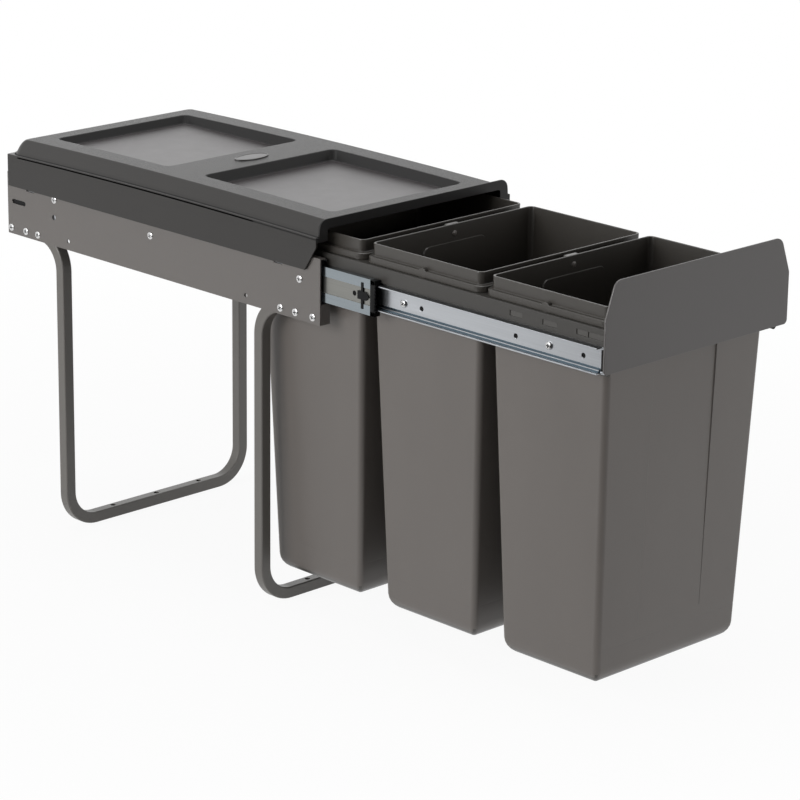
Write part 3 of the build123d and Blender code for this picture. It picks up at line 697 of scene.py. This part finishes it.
badge = {
    "halfLength": 10.5, "halfWidth": 21.0, "segments": 64,
    # Inset from the edge and depth under the top, from the foot to the middle
    "profile": ((0, 2.2), (0, 0.5), (0.15, 0.15), (0.5, 0), (1.2, 0), (1.5, 0.35), (2.2, 0.3), (6.0, 0.12)),
}


def blankBadge():
    low, high = boxOf("lid_badge")
    bm = bmesh.new()
    loops = [
        ovalRing(
            bm, badge["halfWidth"] - inset, badge["halfLength"] - inset, apart * place,
            (low.y + high.y) / 2, badge["segments"],
        )
        for place, (inset, drop) in enumerate(badge["profile"])
    ]
    bridgeStack(bm, loops, [high.z - drop for inset, drop in badge["profile"]])
    finishPiece(bm, "lidBadge", "lid_badge", crease=30)


blankBadge()
print("badge made")


# CAD shapes that only have their edges rounded

softened = {
    "slideOuterLeft": ("slide_outer_left", 0.25), "slideOuterRight": ("slide_outer_right", 0.25),
    "slideCatchLeft": ("slide_catch_left", 0.3), "slideCatchRight": ("slide_catch_right", 0.3),
    "frontPlate": ("front_plate", 0.5), "plateNuts": ("front_plate_nuts", 0.2),
    "tubePlugs": ("leg_tube_plugs", 0.3),
}
for name, (node, width) in softened.items():
    finishPiece(softenedCopy(node, width), name, node)
print("outer members, catches, plate and plugs made")


# Side panels

panel = {
    "edgeRound": 0.3,
    # The dark tongue behind the pierced slot, from the panel's outer face, rear end and top
    "tongueDepth": (1.0, 2.3), "tongueY": (30.1, 6.6), "tongueDrop": (34.0, 26.6), "tongueRound": 0.3,
    # The rubber buffer over the slide's mouth, from the outer face, front end and top
    "bufferDepth": (1.5, 6.0), "bufferY": (0.4, 5.0), "bufferDrop": (6.5, 1.2), "bufferRound": 0.5,
}


def sidePanel(name, node):
    bm = softenedCopy(node, panel["edgeRound"])
    low, high = boxOf(node)
    side = 1 if low.x > 0 else -1
    outer = high.x if side > 0 else low.x
    for trim, start, reach in (("tongue", high.y, -1), ("buffer", low.y, 1)):
        addBlock(
            bm, [outer - side * depth for depth in panel[trim + "Depth"]],
            [start + reach * y for y in panel[trim + "Y"]], [high.z - drop for drop in panel[trim + "Drop"]],
            panel[trim + "Round"], slot=1,
        )
    finishPiece(bm, name, node, extra=(finishes["black_plastic"],))


# Slides

slides = {
    "edgeRound": 0.25, "middleWebHalf": 8.7, "middleWebDepth": 1.7, "innerSheet": 1.2,
    # Depth from the web and height from the lip of the rolled race, from the web to the lip
    "race": ((0.0, 3.9), (0.4, 3.3), (1.5, 2.3), (2.3, 1.7), (3.3, 0.4), (3.3, 0.0), (0.0, 0.0)),
    "raceHalf": 11.15, "raceEnds": (6.0, 1.0), "beadRise": 2.0,
    "holeRadius": 2.6, "holeDisc": 0.3, "holeDepth": 0.25,
    "innerHoles": (26.2, 108.3, 228.0), "middleHole": 22.0,
    "capLength": 7.0, "capFront": 0.8, "capPlate": 2.0, "capOpening": 12.65, "capRound": 0.5,
    "lumpRadius": 1.3, "lumpPitch": 3.6, "lumpInset": 1.2, "lumpRows": (1.3, 3.3, 5.3),
}


def paintedShadeHole(bm, x, y, z, slot):
    # A thin black disc in the web: painted shade standing for a hole with nothing lit behind it
    place = Matrix.Translation((x * mm, y * mm, z * mm)) @ Matrix.Rotation(pi / 2, 4, "Y")
    before = set(bm.faces)
    bmesh.ops.create_cone(
        bm, cap_ends=True, segments=32, radius1=slides["holeRadius"] * mm, radius2=slides["holeRadius"] * mm,
        depth=slides["holeDisc"] * mm, matrix=place,
    )
    for face in set(bm.faces) - before:
        face.material_index = slot


def middleMember(name, node):
    # The CAD member with a web between two strips, both in darker zinc copies as painted shade, and one hole
    # with painted shade in it
    bm = softenedCopy(node, slides["edgeRound"])
    low, high = boxOf(node)
    axis = (low.z + high.z) / 2
    for face in bm.faces:
        # The web and the strips take the darker zinc copies: painted shade
        face.material_index = 1 if abs(middleOf(face).z - axis) < slides["middleWebHalf"] else 2
    web = low.x + slides["middleWebDepth"] if low.x < 0 else high.x - slides["middleWebDepth"]
    paintedShadeHole(bm, web, low.y + slides["middleHole"], axis, 3)
    finishPiece(bm, name, node, extra=(middleWebShaded, middleStripShaded, finishes["black_plastic"]))


def innerMember(name, node):
    # The CAD member with a rolled race along the foot of its channel, the race painted darker as a reflection
    # of the dark channel
    bm = softenedCopy(node, slides["edgeRound"])
    low, high = boxOf(node)
    axis = (low.z + high.z) / 2
    side = 1 if low.x > 0 else -1
    face = low.x if side > 0 else high.x
    web = face + side * slides["innerSheet"]
    for place in slides["innerHoles"]:
        paintedShadeHole(bm, face + side * slides["holeDepth"], low.y + place, axis, 2)
    lip = axis - slides["raceHalf"]
    start, end = low.y + slides["raceEnds"][0], high.y - slides["raceEnds"][1]
    verts = [
        bm.verts.new(((web + side * depth) * mm, start * mm, (lip + rise) * mm))
        for depth, rise in slides["race"]
    ]
    grown = bmesh.ops.extrude_face_region(bm, geom=[bm.faces.new(verts)], use_keep_orig=True)["geom"]
    moved = [item for item in grown if isinstance(item, bmesh.types.BMVert)]
    bmesh.ops.translate(bm, verts=moved, vec=(0, (end - start) * mm, 0))
    band = {face for vert in verts + moved for face in vert.link_faces}
    bmesh.ops.recalc_face_normals(bm, faces=list(band))
    # All but the bead take the darker teal copy: painted reflection
    for face in band:
        face.material_index = 0 if abs(middleOf(face).z - lip - slides["beadRise"]) < hair else 1
    finishPiece(bm, name, node, extra=(racePaintedReflectionZinc, finishes["black_plastic"]))


def endCap(name, node):
    # A short buffer with a knurled front edge, open for the inner member
    s = slides
    bm = bmesh.new()
    low, high = boxOf(node)
    axis = (low.z + high.z) / 2
    outer, side = (low.x, 1) if low.x < 0 else (high.x, -1)
    front = high.y - s["capLength"]
    along = (front + s["capFront"], high.y)
    addBlock(bm, (outer, outer + side * s["capPlate"]), along, (low.z, high.z), s["capRound"])
    addBlock(bm, (low.x, high.x), along, (axis + s["capOpening"], high.z), s["capRound"])
    addBlock(bm, (low.x, high.x), along, (low.z, axis - s["capOpening"]), s["capRound"])
    fewest = int((high.z - low.z - 2 * s["lumpRadius"]) // s["lumpPitch"])
    for row, inset in enumerate(s["lumpRows"]):
        count = fewest + row % 2
        for place in range(count):
            z = axis + s["lumpPitch"] * (place - (count - 1) / 2)
            spot = Matrix.Translation(((outer + side * s["lumpInset"]) * mm, (front + inset) * mm, z * mm))
            bmesh.ops.create_uvsphere(
                bm, u_segments=12, v_segments=8, radius=s["lumpRadius"] * mm, matrix=spot,
            )
    finishPiece(bm, name, node, weighted=False)


for hand in ("Left", "Right"):
    sidePanel("sidePanel" + hand, "side_panel_" + hand.lower())
    middleMember("slideMiddle" + hand, "slide_middle_" + hand.lower())
    innerMember("slideInner" + hand, "slide_inner_" + hand.lower())
    endCap("endCap" + hand, "slide_end_cap_" + hand.lower())
print("side panels and slides made")


# Carrier

carrier = {
    "edgeRound": 0.4, "frontCut": 3.6, "frontWall": 3.1, "frontFootZ": 339.0, "frontFootSlope": 0.05,
    # The closed windows in its sides: across, back from the front and down from the top
    "windowX": (115.75, 114.0), "windowsY": ((7.8, 25.2), (25.6, 39.2), (62.8, 80.2), (104.8, 120.2)),
    "windowDrop": (10.7, 5.3),
}


def binCarrier():
    # The front wall stays above the lower edge of the front plate, and a paler sheet closes each window
    c = carrier
    bm = softenedCopy("bin_carrier", c["edgeRound"])
    low, high = boxOf("bin_carrier")
    cutAcross(bm, (0, low.y + c["frontCut"], 0), (0, 1, 0))
    for vert in bm.verts:
        y, z = vert.co.y / mm, vert.co.z / mm
        if y < low.y + c["frontWall"] and z < c["frontFootZ"]:
            vert.co.z = (c["frontFootZ"] + (z - low.z) * c["frontFootSlope"]) * mm
    for side in (-1, 1):
        for start, end in c["windowsY"]:
            addBlock(
                bm, [side * x for x in c["windowX"]], (low.y + start, low.y + end),
                [high.z - drop for drop in c["windowDrop"]], 0, slot=1,
            )
    finishPiece(bm, "binCarrier", "bin_carrier", extra=(carrierRib,))


binCarrier()
print("carrier made")


# Screws: pan heads with a cross recess

screw = {
    "segments": 40, "crossHalf": 2.1, "crossWidth": 0.45, "crossSlope": 0.12, "crossDepth": 0.55,
    "deepest": 0.6,  # share of the head's height that the cross may take
    "shankRadius": 2.0, "shankSegments": 24, "shankInHead": 0.5, "turnWithPlace": 90,
    # Radius and share of the head's height, from the seat to the top
    "head": ((3.8, 0), (3.8, 0.35), (3.6, 0.65), (3.1, 0.87), (2.5, 1.0)),
}


def islands(bm):
    # The lowest and highest corner of each loose piece
    left = set(bm.verts)
    while left:
        found, border = set(), {left.pop()}
        while border:
            found |= border
            border = {other for vert in border for link in vert.link_edges for other in link.verts} - found
        left -= found
        yield [[choose(vert.co[axis] for vert in found) for axis in range(3)] for choose in (min, max)]


def panHead(height):
    # One head on the z axis, its seat at zero
    bm = bmesh.new()
    loops = [
        ovalRing(bm, radius, radius, apart * place, 0, screw["segments"])
        for place, (radius, share) in enumerate(screw["head"])
    ]
    bridgeStack(bm, loops, [share * height for radius, share in screw["head"]])
    half, width = screw["crossHalf"], screw["crossWidth"]
    for axis in ((1, 0, 0), (0, 1, 0)):
        for reach in (-half, -width, width, half):
            flat = [face for face in bm.faces if middleOf(face).z > height - hair]
            parts = {item for face in flat for item in (face, *face.edges, *face.verts)}
            bmesh.ops.bisect_plane(
                bm, geom=list(parts), plane_co=[value * reach * mm for value in axis], plane_no=axis,
            )
    cross = []
    for face in bm.faces:
        x, y, z = (abs(value) for value in middleOf(face))
        if z > height - hair and min(x, y) < width and max(x, y) < half:
            cross.append(face)
    walls = insetFaces(bm, cross, screw["crossSlope"], -min(screw["crossDepth"], height * screw["deepest"]))
    # The cross and its walls are painted black: painted shade in the recess
    for face in cross + walls:
        face.material_index = 1
    return bm


def crossScrews(name, node, height):
    bm = bmesh.new()
    shape = cadCopy(node)
    for low, high in islands(shape):
        side = 1 if low[0] > 0 else -1
        tip, top = (low[0], high[0]) if side > 0 else (high[0], low[0])
        y, z = (low[1] + high[1]) / 2, (low[2] + high[2]) / 2
        head = panHead(height)
        turn = Matrix.Rotation(side * pi / 2, 4, "Y") @ Matrix.Rotation(y * screw["turnWithPlace"], 4, "Z")
        seat = Matrix.Translation((top - side * height * mm, y, z))
        bmesh.ops.transform(head, matrix=seat @ turn, verts=head.verts)
        mergeInto(bm, head)
        length = abs(top - tip) - height * mm * screw["shankInHead"]
        place = Matrix.Translation((tip + side * length / 2, y, z)) @ Matrix.Rotation(pi / 2, 4, "Y")
        bmesh.ops.create_cone(
            bm, cap_ends=True, segments=screw["shankSegments"], radius1=screw["shankRadius"] * mm,
            radius2=screw["shankRadius"] * mm, depth=length, matrix=place,
        )
    shape.free()
    finishPiece(bm, name, node, crease=30, extra=(finishes["black_plastic"],), weighted=False)


for name, node, height in (
    ("legScrewsLeft", "leg_screws_left", 1.1), ("legScrewsRight", "leg_screws_right", 1.1),
    ("slideScrewsLeft", "slide_screws_left", 1.1), ("slideScrewsRight", "slide_screws_right", 1.1),
    ("carrierScrews", "carrier_screws", 2.0),
):
    crossScrews(name, node, height)
print("screws made")


# CAD nodes that stay

for node, thing in nodes.items():
    if not thing.hide_render:
        for materialSlot in thing.material_slots:
            materialSlot.material = finishes[slotOf[node]]


# Studio

studio = {
    "floorSize": 30.0, "floorColour": rgb(240, 240, 240), "world": 0.2,
    # Share of plain white that the camera sees near the middle of the floor, and where it grows to all
    "whiteShare": 0.93, "whiteFrom": 0.4, "whiteTo": 1.2,
    "roomSide": (-0.70, -0.71, 0), "roomColour": rgb(55, 55, 55),
    "skyEdges": (0.3, 0.8), "floorEdges": (0.4, 0.9),
    # Name, place, target, size in metres and power in watts
    "lamps": (
        ("leftSoftbox", (-3.4, 0.4, 1.3), (0, -0.1, 0.22), 2.0, 100),
        ("backSoftbox", (2.7, 2.7, 1.5), (0, -0.1, 0.4), 3.0, 15),
        ("topSoftbox", (0.0, 0.3, 3.2), (0, -0.1, 0.3), 1.6, 24),
        ("frontFill", (0.6, -3.6, 0.6), (0, -0.2, 0.2), 1.8, 34),
    ),
}


def seenWhite(shader, where, unseen, share, edges):
    # White to the camera and in the gloss of metal and plastic, but for the dark room on one side
    rays = ("Is Camera Ray", "Is Glossy Ray", "Is Transmission Ray")
    camera, glossy, through = (shader.node("LightPath", output=ray) for ray in rays)
    inputs = {0: where, 1: studio["roomSide"]}
    towards = shader.node("VectorMath", {"operation": "DOT_PRODUCT"}, inputs, output="Value")
    room = shader.node("MapRange", None, {"Value": towards, "From Min": edges[0], "From Max": edges[1]})
    colour = shader.mix(room * (1 - camera), (1, 1, 1, 1), studio["roomColour"])
    glow = shader.node("Emission", None, {"Color": colour, "Strength": 1.0})
    seen = shader.calc("MAXIMUM", camera * share, shader.calc("MAXIMUM", glossy, through))
    return shader.node("MixShader", None, {0: seen, 1: unseen, 2: glow})


def studioFloor():
    bm = bmesh.new()
    bmesh.ops.create_grid(bm, x_segments=1, y_segments=1, size=studio["floorSize"] / 2)
    floor = addObject("studioFloor", meshFrom(bm, "studioFloor"))
    paper = Shader(bpy.data.materials.new("studioPaper"))
    where = paper.node("TexCoord", output="Object")
    away = paper.node("VectorMath", {"operation": "LENGTH"}, {0: where}, output="Value")
    share = paper.node("MapRange", None, {
        "Value": away, "From Min": studio["whiteFrom"], "From Max": studio["whiteTo"],
        "To Min": studio["whiteShare"],
    })
    diffuse = paper.node("BsdfDiffuse", None, {"Color": studio["floorColour"]})
    surface = seenWhite(paper, where, diffuse, share, studio["floorEdges"])
    paper.node("OutputMaterial", None, {"Surface": surface})
    floor.data.materials.append(paper.owner)


def studioWorld():
    world = bpy.data.worlds.new("studioWorld")
    bpy.context.scene.world = world
    sky = Shader(world)
    dim = sky.node("Background", None, {"Color": (1, 1, 1, 1), "Strength": studio["world"]})
    where = sky.node("TexCoord", output="Generated")
    sky.node("OutputWorld", None, {"Surface": seenWhite(sky, where, dim, 1.0, studio["skyEdges"])})


def lamp(name, place, target, size, power):
    light = bpy.data.lights.new(name, "AREA")
    light.size = size
    light.energy = power
    thing = addObject(name, light)
    thing.location = place
    thing.rotation_euler = (Vector(target) - Vector(place)).to_track_quat("-Z", "Y").to_euler()


studioFloor()
studioWorld()
for values in studio["lamps"]:
    lamp(*values)
bpy.context.scene.view_settings.view_transform = "Standard"


# Camera

view = {
    "azimuth": -44.478, "elevation": 17.333, "roll": 0.708,
    "lens": 148.214, "sensor": 36, "place": (-2.16715, -2.42786, 1.16827),
}


def addCamera():
    turn, lift, roll = (radians(view[key]) for key in ("azimuth", "elevation", "roll"))
    back = Vector((sin(turn) * cos(lift), -cos(turn) * cos(lift), sin(lift)))
    right = Vector((cos(turn), sin(turn), 0))
    up = back.cross(right)
    across = right * cos(roll) + up * sin(roll)
    upright = up * cos(roll) - right * sin(roll)
    camera = addObject("camera", bpy.data.cameras.new("camera"))
    camera.data.sensor_width = view["sensor"]
    camera.data.lens = view["lens"]
    turned = Matrix((across, upright, back)).transposed().to_4x4()
    camera.matrix_world = Matrix.Translation(view["place"]) @ turned
    bpy.context.scene.camera = camera


addCamera()
print("studio made")
